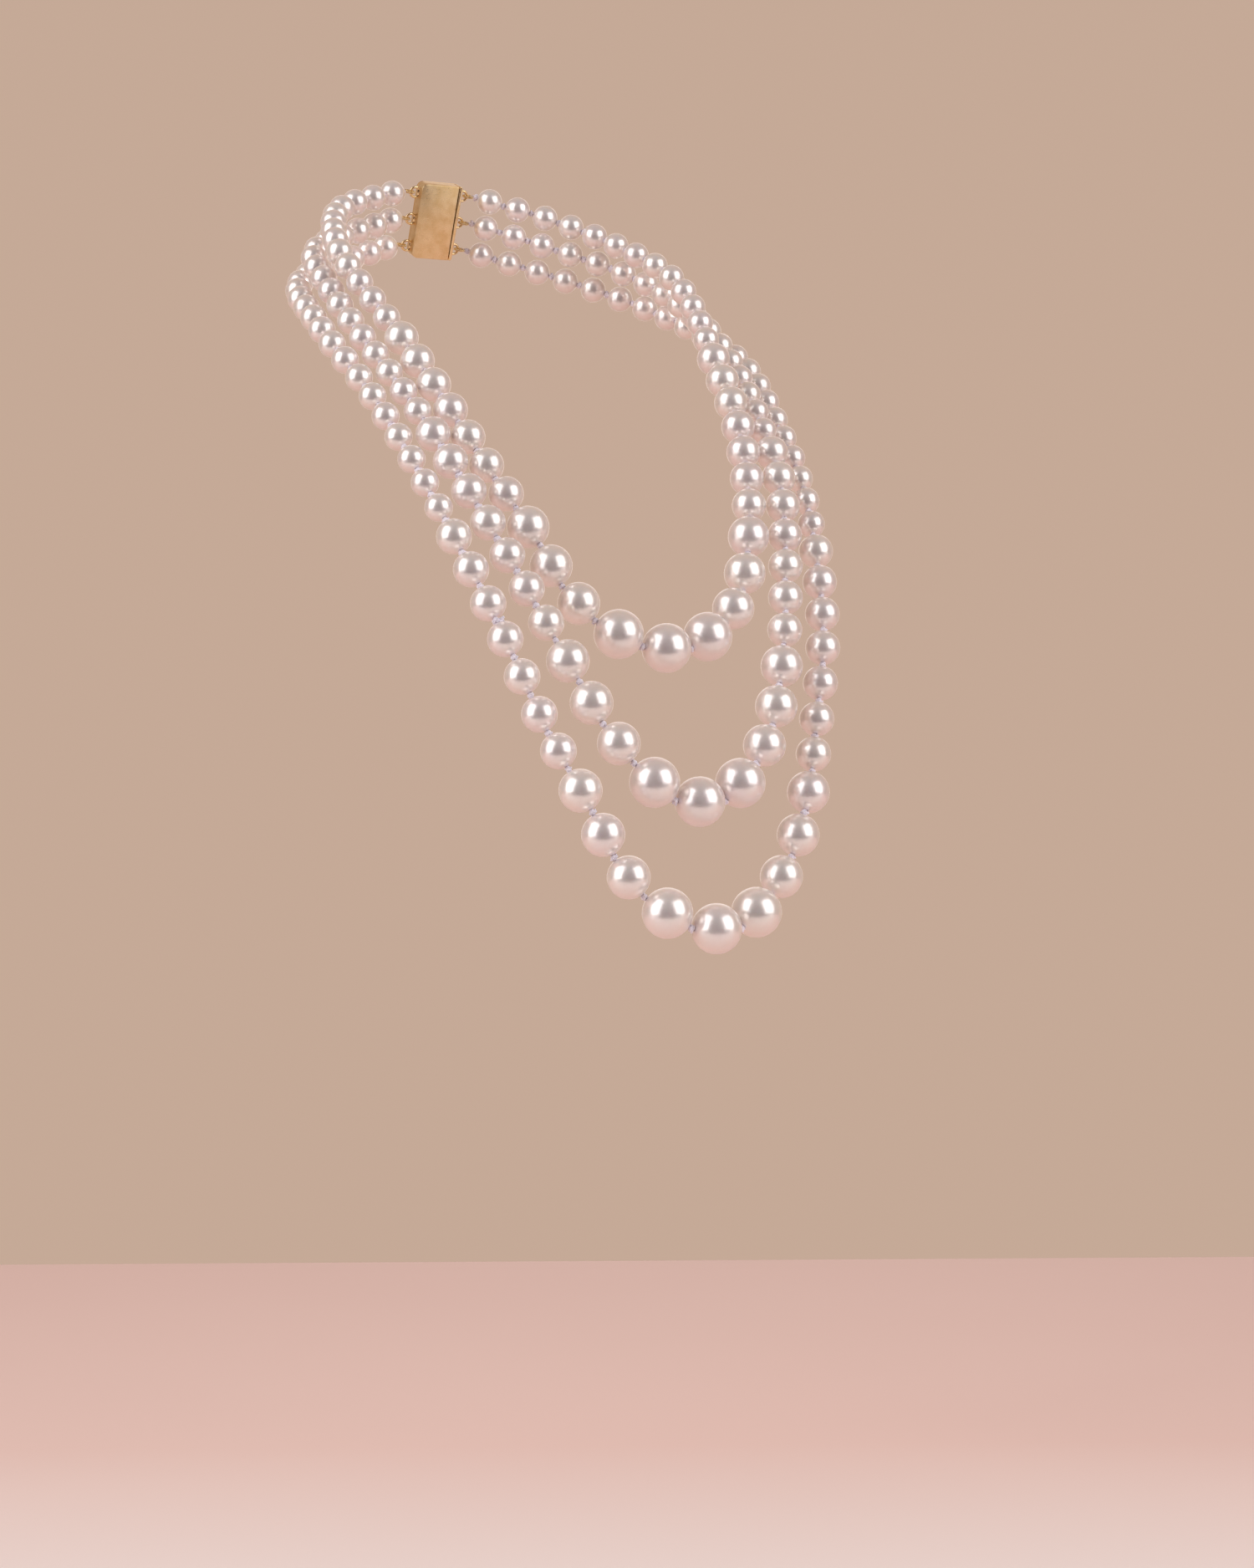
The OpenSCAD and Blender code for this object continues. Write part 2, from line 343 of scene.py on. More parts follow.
def pearls(name, places, rng):
    """One piece for a node's pearls; places are (centre, diameter, knot before, knot after)."""
    verts, faces, tones, start = [], [], [], 0
    for centre, size, before, after in places:
        template, quads = TEMPLATES[size]
        turn = (after - before).to_track_quat("Z", "Y").to_matrix()
        turn = turn @ Matrix.Rotation(rng.uniform(0, 2 * math.pi), 3, "Z")
        points = uneven(template, size, rng) @ np.array(turn).T + np.array(centre)
        verts.append(points)
        faces.append(quads + start)
        tones.append(np.full(len(points), rng.random(), np.float32))
        start += len(points)
    piece(name.replace("pearl", "nacre_pearl"), np.concatenate(verts), np.concatenate(faces), NACRE,
          BODY_OF[name], "pearl", [name], np.concatenate(tones))


def all_pearls():
    rng = random.Random(7)
    for s in STRANDS:
        centre, size = pearls_of(s + "_centre_pearl")[0]
        pearls(s + "_centre_pearl", [(centre, size, KNOTS[s, "left"][0], KNOTS[s, "right"][0])], rng)
        for side in ("left", "right"):
            chain, knots = CHAINS[s, side], KNOTS[s, side]
            for node in dict.fromkeys(n for n, place, diameter in chain):
                pearls(node, [(c, d, knots[i], knots[i + 1])
                              for i, (n, c, d) in enumerate(chain) if n == node], rng)


# ---------------------------------------------------------------- thread

# The thread was joined at this knot, which is bulkier than the rest and has two cut ends
# One bulky knot, where the thread was joined, and the ways its two cut ends point, in millimetres.
JOINED_KNOT = KNOTS["outer", "left"][8]
CUT_ENDS = (((0.9, -0.6, 0.55), (1.8, -0.9, 1.1)), ((0.7, -1.1, -0.1), (1.4, -1.7, 0.1)))


def overhand(before, knot, after, gap, draw, rng):
    """Points of an overhand knot tied in the gap between two pearls, on an open trefoil."""
    bulky = (knot - JOINED_KNOT).length < MM
    axis = (after - before).normalized()
    turn = axis.to_track_quat("Z", "Y").to_matrix()
    turn = turn @ Matrix.Rotation(rng.uniform(0, 2 * math.pi), 3, "Z")
    hole = KNOT_HOLE * MM
    swing = (BULKY_SWING if bulky else draw * rng.uniform(*KNOT_SWING)) * MM
    rise = gap / 2 - KNOT_INSET
    points = []
    for i in range(KNOT_STEPS + 1):
        t = math.pi / 6 + (10 * math.pi / 6) * i / KNOT_STEPS
        r = hole + swing + swing * math.cos(3 * t)
        points.append(Vector((r * math.cos(2 * t), r * math.sin(2 * t), rise * math.sin(3 * t))))
    points.reverse()
    placed = [knot + turn @ p for p in points]
    inside = THREAD_REACH if draw == 1 else 0   # a hinge knot stays out of the pearl that swings on it
    entry = knot + (before - knot).normalized() * (gap / 2 + inside)
    leave = knot + (after - knot).normalized() * (gap / 2 + THREAD_REACH)
    return [entry] + placed + [leave]


def smooth_path(points, step):
    """Even points along a smooth curve through the given points."""
    p = np.array([tuple(v) for v in points])
    ends = np.concatenate([[2 * p[0] - p[1]], p, [2 * p[-1] - p[-2]]])
    fine = []
    for a, b, c, d in zip(ends, ends[1:], ends[2:], ends[3:]):
        cuts = max(2, int(np.linalg.norm(c - b) / step * 2))
        u = (np.arange(cuts) / cuts)[:, None]
        fine.append((2 * b + (c - a) * u + (2 * a - 5 * b + 4 * c - d) * u ** 2
                     + (3 * b - 3 * c + d - a) * u ** 3) / 2)
    fine = np.concatenate(fine + [p[-1:]])
    along = np.concatenate([[0], np.cumsum(np.linalg.norm(np.diff(fine, axis=0), axis=1))])
    even = np.linspace(0, along[-1], max(3, int(along[-1] / step)))
    return np.stack([np.interp(even, along, fine[:, k]) for k in range(3)], axis=1)


def frames(path):
    """Direction and two crosswise directions at each point, turning as little as possible."""
    ahead = np.gradient(path, axis=0)
    ahead /= np.linalg.norm(ahead, axis=1)[:, None]
    side = np.cross(ahead[0], [0.3, 0.5, 0.81])
    sides = []
    for t in ahead:
        side = side - t * (side @ t)
        side /= np.linalg.norm(side)
        sides.append(side)
    sides = np.array(sides)
    return ahead, sides, np.cross(ahead, sides)


def tube(path, radius, sides=8):
    """Closed tube round a path; radius is one number or one for each point."""
    ahead, u, v = frames(path)
    a = np.arange(sides) * 2 * math.pi / sides
    ring = np.cos(a)[None, :, None] * u[:, None] + np.sin(a)[None, :, None] * v[:, None]
    radius = np.broadcast_to(np.asarray(radius, float), (len(path),))
    verts = (path[:, None] + ring * radius[:, None, None]).reshape(-1, 3)
    i, j = np.meshgrid(np.arange(len(path) - 1), np.arange(sides), indexing="ij")
    beside = (j + 1) % sides
    quads = np.stack([i * sides + j, i * sides + beside,
                      (i + 1) * sides + beside, (i + 1) * sides + j], axis=2).reshape(-1, 4).tolist()
    last = (len(path) - 1) * sides
    return verts, quads + [list(range(sides))[::-1], [last + k for k in range(sides)]]


def joined(parts):
    verts, faces, start = [], [], 0
    for points, polygons in parts:
        verts.append(points)
        faces += [[k + start for k in f] for f in polygons]
        start += len(points)
    return np.concatenate(verts), faces


def twisted(path, pitch=TWIST_PITCH, plies=2):
    """The plies of a thread, wound round each other along a path."""
    ahead, u, v = frames(path)
    along = np.concatenate([[0], np.cumsum(np.linalg.norm(np.diff(path, axis=0), axis=1))])
    parts = []
    for k in range(plies):
        angle = along * 2 * math.pi / pitch + 2 * math.pi * k / plies
        wound = path + PLY_OFFSET * (np.cos(angle)[:, None] * u + np.sin(angle)[:, None] * v)
        parts.append(tube(wound, PLY_R))
    return joined(parts)


def knot_core(before, knot, after, gap, draw):
    """The tightly drawn middle of a knot, a little egg between the two pearls."""
    ahead = (after - before).normalized()
    along = np.linspace(-1, 1, 13)
    path = np.array([tuple(knot + ahead * (gap / 2) * float(t)) for t in along])
    return tube(path, CORE_R * draw * np.sqrt(1.02 - along ** 2), 20)


def thread(name, strand, knots, tied_start, tied_end, before, after, rng, first_draw=1.0):
    """A stretch of thread with an overhand knot at each tied point; first_draw tightens the first."""
    gap = KNOT_GAP[strand]
    points, parts = [], []
    last = len(knots) - 1
    for i, knot in enumerate(knots):
        back = knots[i - 1] if i else before
        ahead = knots[i + 1] if i < last else after
        if (i == 0 and not tied_start) or (i == last and not tied_end):
            toward = ahead if i == 0 else back
            points.append(knot + (toward - knot).normalized() * (gap / 2 + 0.2 * MM))
        else:
            draw = first_draw if i == 0 else 1.0
            points += overhand(back, knot, ahead, gap, draw, rng)
            parts.append(knot_core(back, knot, ahead, gap, draw))
    parts.append(twisted(smooth_path(points, THREAD_STEP)))
    if any((knot - JOINED_KNOT).length < MM for knot in knots[1:last]):
        for near, far in CUT_ENDS:
            stub = [JOINED_KNOT, JOINED_KNOT + Vector(near) * MM, JOINED_KNOT + Vector(far) * MM]
            parts.append(twisted(smooth_path(stub, THREAD_STEP)))
    verts, faces = joined(parts)
    piece(name.replace("thread", "silk_thread"), verts, faces, SILK, BODY_OF[name], "silk", [name])


def all_threads():
    rng = random.Random(11)
    for s in STRANDS:
        for side in ("left", "right"):
            knots = KNOTS[s, side]
            ends = stretch_ends(s, side)
            front, collar, nape = ends["front"], ends["collar"], ends["nape"]
            past = 2 * knots[nape] - knots[nape - 1]
            thread(f"{s}_{side}_nape_thread", s, knots[collar:nape + 1], True, True,
                   knots[collar - 1], past, rng, HINGE_DRAW)
            thread(f"{s}_{side}_chest_thread", s, knots[front:collar + 1], True, False,
                   knots[front - 1], knots[collar + 1], rng, HINGE_DRAW)
        left, right = KNOTS[s, "left"], KNOTS[s, "right"]
        front = stretch_ends(s, "left")["front"]
        thread(f"{s}_left_front_thread", s, [right[0]] + left[:front + 1], True, False,
               right[1], left[front + 1], rng)
        thread(f"{s}_right_front_thread", s, right[:front + 1], False, False,
               left[0], right[front + 1], rng)


# ---------------------------------------------------------------- clasp

LEAN = Matrix.Rotation(CLASP_LEAN, 3, "X")
UNLEAN = np.array(LEAN.transposed())


def clasp_box_of(points):
    """Lowest and highest corner of some points along the clasp's own axes."""
    local = points @ UNLEAN.T
    return local.min(0), local.max(0)


def node_points(node):
    return np.array([v.co for v in frame["nodes"][node].data.vertices], float)


def clasp_piece(name, bm, material, body, stands_for, bevel=0.0):
    """A piece made in the clasp's own axes, its sharp edges rounded."""
    if bevel:
        sharp = [e for e in bm.edges if e.is_manifold and e.calc_face_angle(0) > math.radians(35)]
        bmesh.ops.bevel(bm, geom=sharp, offset=bevel, segments=3, profile=0.5, affect="EDGES",
                        clamp_overlap=True)
    bmesh.ops.recalc_face_normals(bm, faces=bm.faces[:])
    bmesh.ops.rotate(bm, verts=bm.verts[:], cent=(0, 0, 0), matrix=LEAN)
    mesh = bpy.data.meshes.new(name)
    bm.to_mesh(mesh)
    bm.free()
    mesh.shade_smooth()
    mesh.set_sharp_from_angle(angle=math.radians(50))
    mesh.materials.append(material)
    obj = bpy.data.objects.new(name, mesh)
    bpy.context.scene.collection.objects.link(obj)
    finish_piece(obj, body, stands_for)
    return obj


def add_mesh(bm, verts, faces):
    made = [bm.verts.new(tuple(v)) for v in verts]
    for f in faces:
        bm.faces.new([made[k] for k in f])


def ring_tube(centre, across, radius, wire, steps=64, sides=16):
    """A closed wire ring round the axis across."""
    u = np.array(Vector(across).orthogonal().normalized())
    v = np.cross(across, u)
    a = np.arange(steps) * 2 * math.pi / steps
    b = np.arange(sides) * 2 * math.pi / sides
    out = np.cos(a)[:, None] * u + np.sin(a)[:, None] * v
    verts = (centre + out[:, None] * (radius + wire * np.cos(b))[None, :, None]
             + np.array(across)[None, None] * (wire * np.sin(b))[None, :, None]).reshape(-1, 3)
    i, j = np.meshgrid(np.arange(steps), np.arange(sides), indexing="ij")
    ahead, beside = (i + 1) % steps, (j + 1) % sides
    quads = np.stack([i * sides + j, ahead * sides + j,
                      ahead * sides + beside, i * sides + beside], axis=2)
    return verts, quads.reshape(-1, 4)


def prism(bm, outline, y0, y1):
    """A solid with an outline in the clasp's x-z plane, from y0 to y1."""
    add_mesh(bm, [(x, y, z) for y in (y0, y1) for x, z in outline],
             [list(range(len(outline)))[::-1], list(range(len(outline), 2 * len(outline)))]
             + [[i, (i + 1) % len(outline), len(outline) + (i + 1) % len(outline), len(outline) + i]
                for i in range(len(outline))])


def rounded_outline(x0, x1, z0, z1, radii, steps=8):
    """A rectangle's outline, with a radius for each corner from the lowest one round."""
    corners = ((x0, z0, 1, 1, 180), (x1, z0, -1, 1, 270), (x1, z1, -1, -1, 0), (x0, z1, 1, -1, 90))
    outline = []
    for (x, z, sx, sz, start), r in zip(corners, radii):
        for i in range(steps + 1 if r else 1):
            a = math.radians(start + 90 * i / steps)
            outline.append((x + sx * r + r * math.cos(a), z + sz * r + r * math.sin(a)))
    return outline


def bead_rows(outline, spacing):
    """Evenly spaced points along a closed outline."""
    p = np.array(outline + outline[:1])
    along = np.concatenate([[0], np.cumsum(np.linalg.norm(np.diff(p, axis=0), axis=1))])
    count = int(along[-1] / spacing)
    even = np.arange(count) * along[-1] / count
    return [(np.interp(e, along, p[:, 0]), np.interp(e, along, p[:, 1])) for e in even]


def top_plate():
    """The clasp's face: a milgrain border round a softly domed, fluted field."""
    low, high = clasp_box_of(node_points("clasp_top_plate"))
    corner = 2 * MM
    rim = 1.5 * MM
    bm = bmesh.new()
    prism(bm, rounded_outline(low[0], high[0], low[2], high[2], (corner, 0, 0, corner)),
          low[1], high[1] - 0.12 * MM)
    clasp_piece("clasp_face_plate", bm, GOLD, BODY_OF["clasp_top_plate"], ["clasp_top_plate"],
                bevel=0.16 * MM)
    bm = bmesh.new()
    field = [low[0] + rim, high[0] - rim, low[2] + rim, high[2] - rim]
    across, along, flutes = 40, 240, 15
    foot, crown = high[1] - 0.2 * MM, 0.34 * MM
    edge_rise, flute_depth = 0.14 * MM, 0.17 * MM
    verts = []
    for j in range(along + 1):
        v = j / along
        for i in range(across + 1):
            u = i / across
            edge = min(u * across / 4, (1 - u) * across / 4, v * along / 12, (1 - v) * along / 12, 1)
            swell = crown * math.sqrt(max(0, 1 - (2 * v - 1) ** 4))
            swell *= math.sqrt(max(0, 1 - (2 * u - 1) ** 4))
            flute = flute_depth * abs(math.sin(math.pi * flutes * v)) ** 0.6 * edge
            height = foot + edge_rise * edge + swell * edge + flute
            verts.append((field[0] + u * (field[1] - field[0]), height,
                          field[2] + v * (field[3] - field[2])))
    row = across + 1
    faces = [[j * row + i, (j + 1) * row + i, (j + 1) * row + i + 1, j * row + i + 1]
             for j in range(along) for i in range(across)]
    rim_loop = (list(range(across)) + [j * row + across for j in range(along)]
                + [along * row + i for i in range(across, 0, -1)]
                + [j * row for j in range(along, 0, -1)])
    base = len(verts)
    verts += [(verts[k][0], foot - 0.1 * MM, verts[k][2]) for k in rim_loop]
    count = len(rim_loop)
    faces += [[rim_loop[k], rim_loop[(k + 1) % count], base + (k + 1) % count, base + k]
              for k in range(count)]
    faces.append([base + k for k in range(count)])
    add_mesh(bm, verts, faces)
    clasp_piece("clasp_fluted_field", bm, GOLD, BODY_OF["clasp_top_plate"], [])
    bm = bmesh.new()
    inset = 0.8 * MM
    path = rounded_outline(low[0] + inset, high[0] - inset, low[2] + inset, high[2] - inset,
                           (corner - inset, 0.5 * MM, 0.5 * MM, corner - inset))
    for x, z in bead_rows(path, 0.52 * MM):
        place = Matrix.Translation((x, high[1] - 0.1 * MM, z)) @ Matrix.Diagonal((1, 0.9, 1, 1))
        bmesh.ops.create_icosphere(bm, subdivisions=2, radius=0.25 * MM, matrix=place)
    clasp_piece("clasp_milgrain_border", bm, GOLD, BODY_OF["clasp_top_plate"], [])


def cut(bm, cutter_outline, y0, y1):
    """Takes a prism out of the piece, exactly."""
    block, tool = bpy.data.meshes.new("block"), bpy.data.meshes.new("tool")
    bm.to_mesh(block)
    bm.free()
    knife = bmesh.new()
    prism(knife, cutter_outline, y0, y1)
    bmesh.ops.recalc_face_normals(knife, faces=knife.faces[:])
    knife.to_mesh(tool)
    knife.free()
    holder = bpy.data.objects.new("block", block)
    blade = bpy.data.objects.new("tool", tool)
    for obj in (holder, blade):
        bpy.context.scene.collection.objects.link(obj)
    modifier = holder.modifiers.new("cut", "BOOLEAN")
    modifier.operation, modifier.solver, modifier.object = "DIFFERENCE", "EXACT", blade
    result = bmesh.new()
    result.from_mesh(holder.evaluated_get(bpy.context.evaluated_depsgraph_get()).to_mesh())
    for obj in (holder, blade):
        bpy.data.objects.remove(obj)
    bmesh.ops.remove_doubles(result, verts=result.verts[:], dist=0.0005 * MM)
    return result


LOOP_R = 1.6 * MM
LOOP_WIRE_R = 0.4 * MM
ROW_PITCH = 8.7 * MM
COLLAR_PROFILE = ((0.95, 0.0), (0.85, 0.12), (0.72, 0.22), (0.6, 0.34), (0.5, 0.55))   # radius, height
COLLAR_THICKNESS = 0.5
COLLAR_LENGTH = 1.5
COLLAR_STEPS = 32
COLLAR_SINK = 0.05


def strand_loops(name, side, end_x, middle, body):
    """The wire loops that the strands hang on, each with a collar of solder at its foot."""
    bm = bmesh.new()
    centre_x = side * (abs(end_x) + LOOP_R - LOOP_WIRE_R)
    for row in (1, 0, -1):
        centre = np.array((centre_x, middle[1], middle[2] + row * ROW_PITCH))
        add_mesh(bm, *ring_tube(centre, (0, 1, 0), LOOP_R, LOOP_WIRE_R))
        steps, last = COLLAR_STEPS, len(COLLAR_PROFILE) - 1
        verts = [(end_x + side * (h - COLLAR_SINK) * MM,
                  centre[1] + COLLAR_THICKNESS * r * MM * math.cos(a),
                  centre[2] + COLLAR_LENGTH * r * MM * math.sin(a))
                 for r, h in COLLAR_PROFILE for a in (2 * math.pi * i / steps for i in range(steps))]
        faces = [[k * steps + i, k * steps + (i + 1) % steps,
                  (k + 1) * steps + (i + 1) % steps, (k + 1) * steps + i]
                 for k in range(last) for i in range(steps)]
        faces += [list(range(steps)), [last * steps + i for i in range(steps)]]
        add_mesh(bm, verts, faces)
    clasp_piece(name, bm, GOLD, body, [])


def clasp():
    face_low, face_high = clasp_box_of(node_points("clasp_top_plate"))
    low, high = clasp_box_of(node_points("clasp_box"))
    body = BODY_OF["clasp_box"]
    x0, x1, z0, z1 = face_low[0], face_high[0], low[2], high[2]
    y0, y1 = low[1], face_low[1]
    middle = np.array((0, (low[1] + face_high[1]) / 2, (z0 + z1) / 2))
    wall, end_block = 0.7 * MM, 3 * MM
    bm = bmesh.new()
    prism(bm, rounded_outline(x0, x1, z0, z1, (2 * MM, 0, 0, 2 * MM)), y0, y1)
    bmesh.ops.recalc_face_normals(bm, faces=bm.faces[:])
    cavity = [(x0 + wall, z0 + end_block), (x1 + MM, z0 + end_block), (x1 + MM, z1 - end_block),
              (x0 + wall, z1 - end_block)]
    bm = cut(bm, cavity, y0 + wall, y1 + MM)
    clasp_piece("clasp_box_shell", bm, BRUSHED, body, ["clasp_box"], bevel=0.14 * MM)
    strand_loops("clasp_box_strand_loops", -1, x0, middle, body)
    tongue_body = BODY_OF["clasp_tongue"]
    bar_x0, bar_x1 = x1 + 0.3 * MM, -x0
    bm = bmesh.new()
    prism(bm, rounded_outline(bar_x0, bar_x1, z0, z1, (0, 0.7 * MM, 0.7 * MM, 0)), y0, face_high[1])
    bmesh.ops.recalc_face_normals(bm, faces=bm.faces[:])
    half = 2.7 * MM
    notch = [(bar_x0 - MM, middle[2] - half), (bar_x1 + MM, middle[2] - half),
             (bar_x1 + MM, middle[2] + half), (bar_x0 - MM, middle[2] + half)]
    bm = cut(bm, notch, middle[1] + 0.45 * MM, face_high[1] + MM)
    clasp_piece("clasp_end_bar", bm, GOLD, tongue_body, ["clasp_tongue"], bevel=0.14 * MM)
    strand_loops("clasp_tongue_strand_loops", 1, bar_x1, middle, tongue_body)
    leaf, fold_r = 0.4 * MM, 0.45 * MM
    fold_x = x0 + 2.5 * MM
    tongue_y = y0 + wall + 0.3 * MM
    half_width = 7 * MM
    bm = bmesh.new()
    prism(bm, rounded_outline(fold_x, bar_x0 + 0.1 * MM, middle[2] - half_width, middle[2] + half_width,
                              (0, 0, 0, 0)), tongue_y, tongue_y + leaf)
    clasp_piece("clasp_tongue_leaf", bm, GOLD, tongue_body, [], bevel=0.07 * MM)
    bm = bmesh.new()
    bmesh.ops.create_cone(bm, cap_ends=True, segments=32, radius1=fold_r, radius2=fold_r,
                          depth=2 * half_width,
                          matrix=Matrix.Translation((fold_x, tongue_y + fold_r, middle[2])))
    clasp_piece("clasp_tongue_fold", bm, GOLD, tongue_body, [], bevel=0.06 * MM)
    spring = frame["nodes"]["clasp_spring_leaf"]
    spring.data.materials.clear()
    spring.data.materials.append(GOLD)
    weld = spring.modifiers.new("weld", "WELD")
    weld.merge_threshold = 0.001 * MM
    edge = spring.modifiers.new("edge", "BEVEL")
    edge.width, edge.segments, edge.limit_method = 0.08 * MM, 3, "ANGLE"


# ---------------------------------------------------------------- gimp

GIMP_R = 1.4 * MM
GIMP_COIL_R = 0.3 * MM
GIMP_WIRE_R = 0.1 * MM
GIMP_CORE_R = 0.19 * MM
GIMP_GAP = math.radians(26)
GIMP_TURNS = 38
GIMP_TURN_STEPS = 12
GIMP_CORE_STEPS = 60


def gimp_loop(points, knot):
    """A coil of fine wire round the loop of thread that holds a strand to its ring."""
    low, high = clasp_box_of(points)
    centre = (low + high) / 2
    toward = UNLEAN @ np.array(knot) - centre
    facing = math.atan2(toward[1], toward[0])
    parts = []
    for spread, radius, count in ((GIMP_GAP, GIMP_COIL_R, GIMP_TURNS * GIMP_TURN_STEPS),
                                  (GIMP_GAP * 0.5, 0, GIMP_CORE_STEPS)):
        t = np.linspace(0, 1, count)
        a = facing + spread + t * (2 * math.pi - 2 * spread)
        spin = t * GIMP_TURNS * 2 * math.pi
        r = GIMP_R + radius * np.cos(spin)
        path = np.stack([r * np.cos(a), r * np.sin(a), radius * np.sin(spin)], axis=1) + centre
        parts.append(tube(path @ np.array(LEAN).T, GIMP_WIRE_R if radius else GIMP_CORE_R, 6))
    return parts


def gimps():
    ends = {(s, side): KNOTS[s, side][-1] for s in STRANDS for side in ("left", "right")}
    wires, cores = [], []
    for points in solids("box_side_gimps"):
        near = min((ends[s, "left"] for s in STRANDS), key=lambda k: np.linalg.norm(points.mean(0) - k))
        wire, core = gimp_loop(points, near)
        wires.append(wire)
        cores.append(core)
    body = BODY_OF["box_side_gimps"]
    piece("coiled_gimps_box_side", *joined(wires), GIMP, body, "gimp_wire", ["box_side_gimps"])
    piece("gimp_thread_cores_box_side", *joined(cores), SILK, body, "silk")
    for s in STRANDS:
        node = s + "_tongue_side_gimp"
        wire, core = gimp_loop(node_points(node), ends[s, "right"])
        piece("coiled_gimp_" + s, *wire, GIMP, BODY_OF[node], "gimp_wire", [node])
        piece("gimp_thread_core_" + s, *core, SILK, BODY_OF[node], "silk")


# ---------------------------------------------------------------- camera, floor, lights

CAMERA_AZIMUTH = math.radians(-26.95)
CAMERA_ELEVATION = math.radians(-1.56)
CAMERA_ROLL = math.radians(-0.36)
CAMERA_LENS = 83.86
CAMERA_DISTANCE = 1.0696
CAMERA_TARGET = Vector((0.0107, -0.0511, -0.1573))
CAMERA_SENSOR = 36.0
TABLE_Z = -0.35
TABLE_HALF = 1.3
TABLE_FRONT = 0.42
TABLE_BEHIND = 0.52
TABLE_TONES = ((0.90, 0.66, 0.60), (0.92, 0.69, 0.63))
# painted light: the paler tone painted on the front of the table, a painted pool of light
TABLE_PAINTED_LIGHT_TONE = (0.96, 0.89, 0.87)
TABLE_PAINTED_LIGHT_REACH = 0.26            # how far in front of the object the painted light on the table reaches its full paleness
BACKDROP_TONE = (0.56, 0.40, 0.31)
ROOM_TONES = ((0.0, (0.09, 0.05, 0.05)), (0.45, (0.09, 0.05, 0.055)), (0.53, (0.10, 0.06, 0.065)),
              (0.70, (0.15, 0.11, 0.11)), (0.85, (0.22, 0.18, 0.175)), (1.0, (0.30, 0.25, 0.24)))
LIGHT_DISTANCE = 1.5
LIGHT_COLOUR = (0.98, 0.98, 1.0)
# Name, degrees round from the camera's side, degrees up, width, height and watts.
SOFTBOXES = (("window_left", -57, 24, 1.2, 1.8, 15.5),
             ("window_right", 58, 22, 1.2, 1.45, 12.0),
             ("fill_back", 180, 18, 1.2, 1.2, 2.4))


def camera():
    a, e, roll = CAMERA_AZIMUTH, CAMERA_ELEVATION, CAMERA_ROLL
    back = Vector((math.sin(a) * math.cos(e), -math.cos(a) * math.cos(e), math.sin(e)))
    right = Vector((math.cos(a), math.sin(a), 0))
    up = back.cross(right)
    data = bpy.data.cameras.new("camera")
    data.lens, data.sensor_width = CAMERA_LENS, CAMERA_SENSOR
    data.clip_start, data.clip_end = 0.05, 20
    obj = bpy.data.objects.new("camera", data)
    bpy.context.scene.collection.objects.link(obj)
    turned = (math.cos(roll) * right + math.sin(roll) * up, math.cos(roll) * up - math.sin(roll) * right)
    axes = Matrix((turned[0], turned[1], back)).transposed().to_4x4()
    obj.matrix_world = Matrix.Translation(CAMERA_TARGET + back * CAMERA_DISTANCE) @ axes
    bpy.context.scene.camera = obj
    return back, right


def softbox(name, toward, width, height, power):
    data = bpy.data.lights.new(name, "AREA")
    data.shape, data.size, data.size_y = "RECTANGLE", width, height
    data.energy, data.color = power, LIGHT_COLOUR
    obj = bpy.data.objects.new(name, data)
    bpy.context.scene.collection.objects.link(obj)
    obj.location = CAMERA_TARGET + toward.normalized() * LIGHT_DISTANCE
    obj.rotation_mode = "QUATERNION"
    obj.rotation_quaternion = (-toward).to_track_quat("-Z", "Y")
    obj.visible_camera = False


def direction(back, right, sideways, elevation):
    """A direction by its angle from the camera's side of the object, and its height."""
    s, e = math.radians(sideways), math.radians(elevation)
    level = Vector((back.x, back.y, 0)).normalized()
    return (level * math.cos(s) + right * math.sin(s)) * math.cos(e) + Vector((0, 0, math.sin(e)))


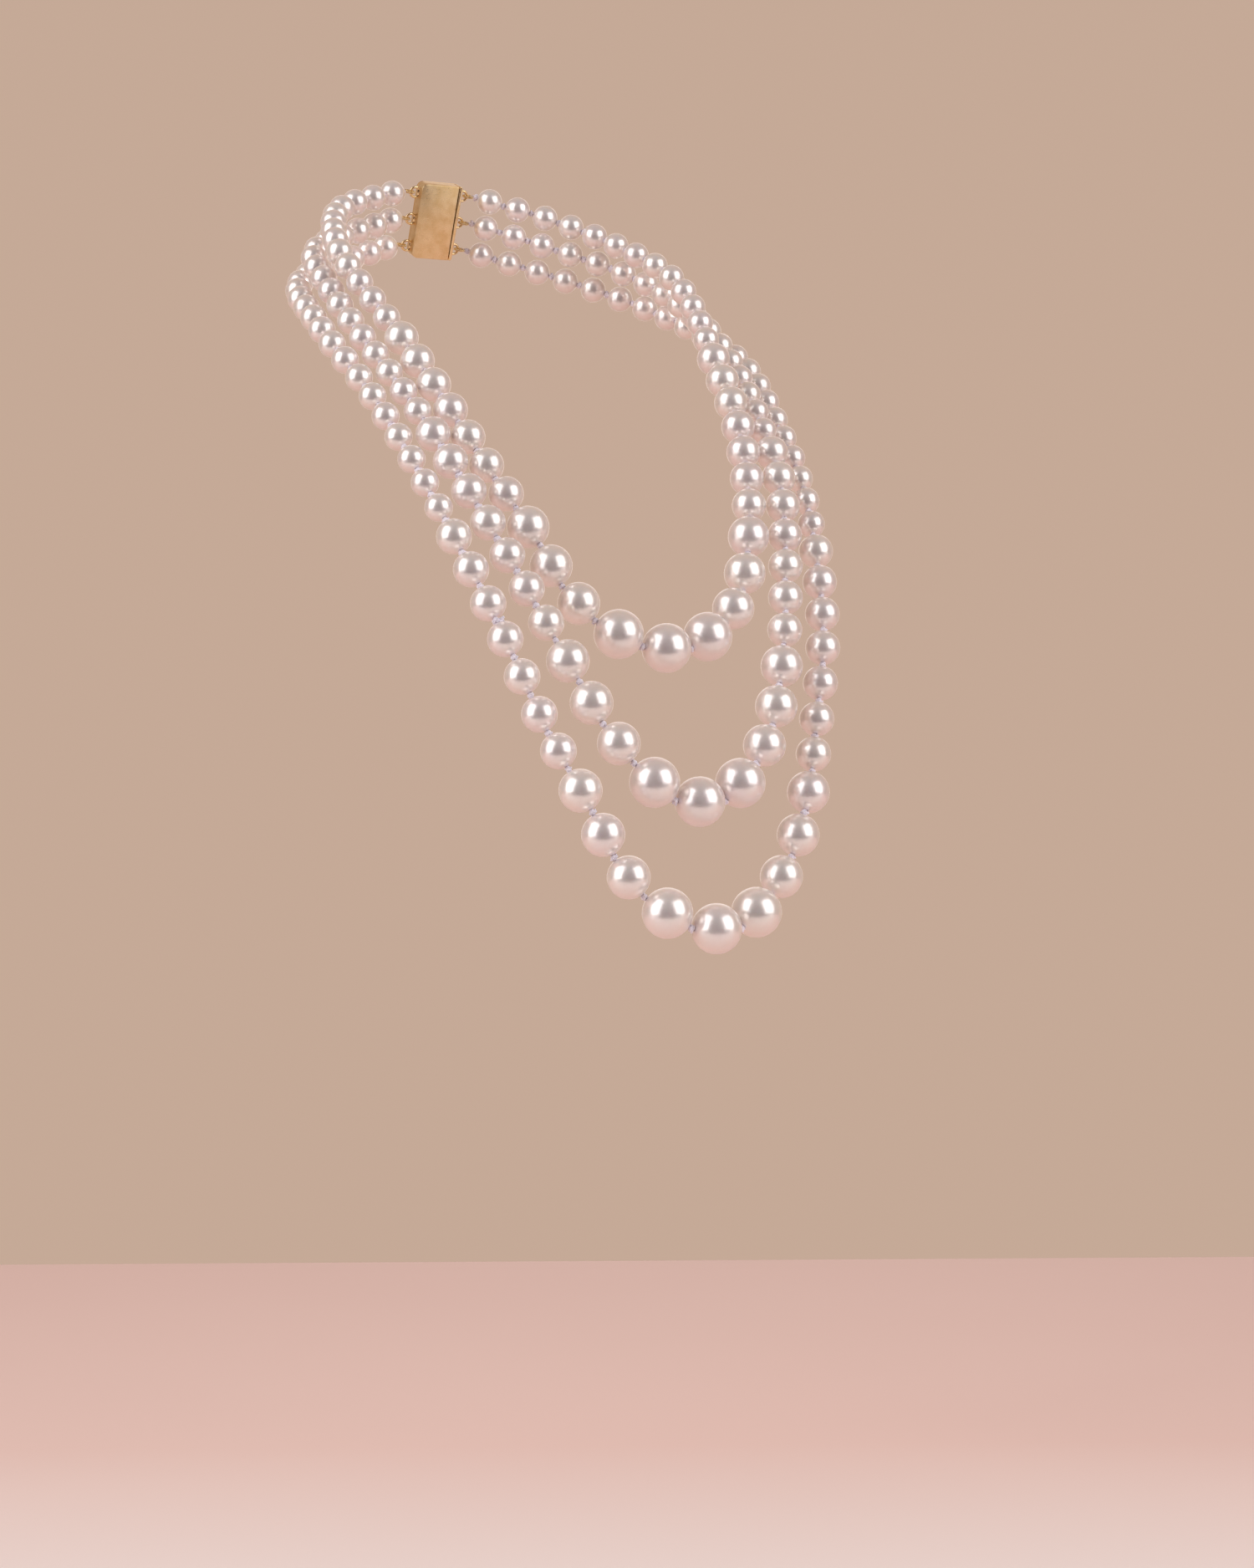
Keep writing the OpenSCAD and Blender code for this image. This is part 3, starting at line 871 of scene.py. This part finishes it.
def world(back):
    """A dark room round the camera, and a taupe backdrop lit behind the object."""
    made = bpy.data.worlds.new("studio")
    made.use_nodes = True
    bpy.context.scene.world = made
    tree = made.node_tree
    background = tree.nodes["Background"]
    toward = add(tree, "ShaderNodeTexCoord").outputs["Generated"]
    split = add(tree, "ShaderNodeSeparateXYZ")
    tree.links.new(toward, split.inputs[0])
    ramp = add(tree, "ShaderNodeValToRGB")
    elements = ramp.color_ramp.elements
    while len(elements) < len(ROOM_TONES):
        elements.new(0.5)
    for element, (place, colour) in zip(elements, ROOM_TONES):
        element.position, element.color = place, (*colour, 1)
    tree.links.new(mapped(tree, split.outputs["Z"], 0, 1, -1, 1), ramp.inputs[0])
    facing = add(tree, "ShaderNodeVectorMath", operation="DOT_PRODUCT")
    tree.links.new(toward, facing.inputs[0])
    facing.inputs[1].default_value = tuple(-back)
    lit = mapped(tree, facing.outputs["Value"], 0, 1, -0.6, 0.8)
    tree.links.new(mixed(tree, lit, ramp.outputs[0], BACKDROP_TONE), background.inputs["Color"])


def floor(back, right):
    """A pale table squared to the camera, painted paler in front of the object: a painted pool of light
    that the pearls reflect in their lower halves.
    """
    material, tree, shader = new_material("pale_table")
    coords = add(tree, "ShaderNodeTexCoord").outputs["Object"]
    tone = mixed(tree, mapped(tree, noise(tree, coords, 1.4), 0.0, 1.0), *TABLE_TONES)
    level = Vector((back.x, back.y, 0)).normalized()
    near = add(tree, "ShaderNodeVectorMath", operation="DOT_PRODUCT")
    tree.links.new(coords, near.inputs[0])
    near.inputs[1].default_value = tuple(level)
    start = level.dot(CAMERA_TARGET)
    # painted light: towards the camera the table turns to its paler tone, a painted pool of light for
    # the pearls to reflect
    painted_light = mapped(tree, near.outputs["Value"], 0, 1, start, start + TABLE_PAINTED_LIGHT_REACH)
    tree.links.new(mixed(tree, painted_light, tone, TABLE_PAINTED_LIGHT_TONE), shader.inputs["Base Color"])
    shader.inputs["Roughness"].default_value = 0.75
    mesh = bpy.data.meshes.new("floor")
    corners = [level * along + right * across for along, across in
               ((TABLE_FRONT, -TABLE_HALF), (TABLE_FRONT, TABLE_HALF),
                (-TABLE_BEHIND, TABLE_HALF), (-TABLE_BEHIND, -TABLE_HALF))]
    centre = Vector((CAMERA_TARGET.x, CAMERA_TARGET.y, TABLE_Z))
    mesh.from_pydata([tuple(centre + c) for c in corners], [], [(0, 1, 2, 3)])
    mesh.materials.append(material)
    obj = bpy.data.objects.new("floor", mesh)
    bpy.context.scene.collection.objects.link(obj)


def studio():
    """Camera, table, room and lights; the Standard view keeps the pearls' highlights a clean white."""
    bpy.context.scene.view_settings.view_transform = "Standard"
    back, right = camera()
    floor(back, right)
    world(back)
    for name, sideways, elevation, width, height, power in SOFTBOXES:
        softbox(name, direction(back, right, sideways, elevation), width, height, power)


all_pearls()
all_threads()
clasp()
top_plate()
gimps()
studio()

bpy.context.view_layer.update()
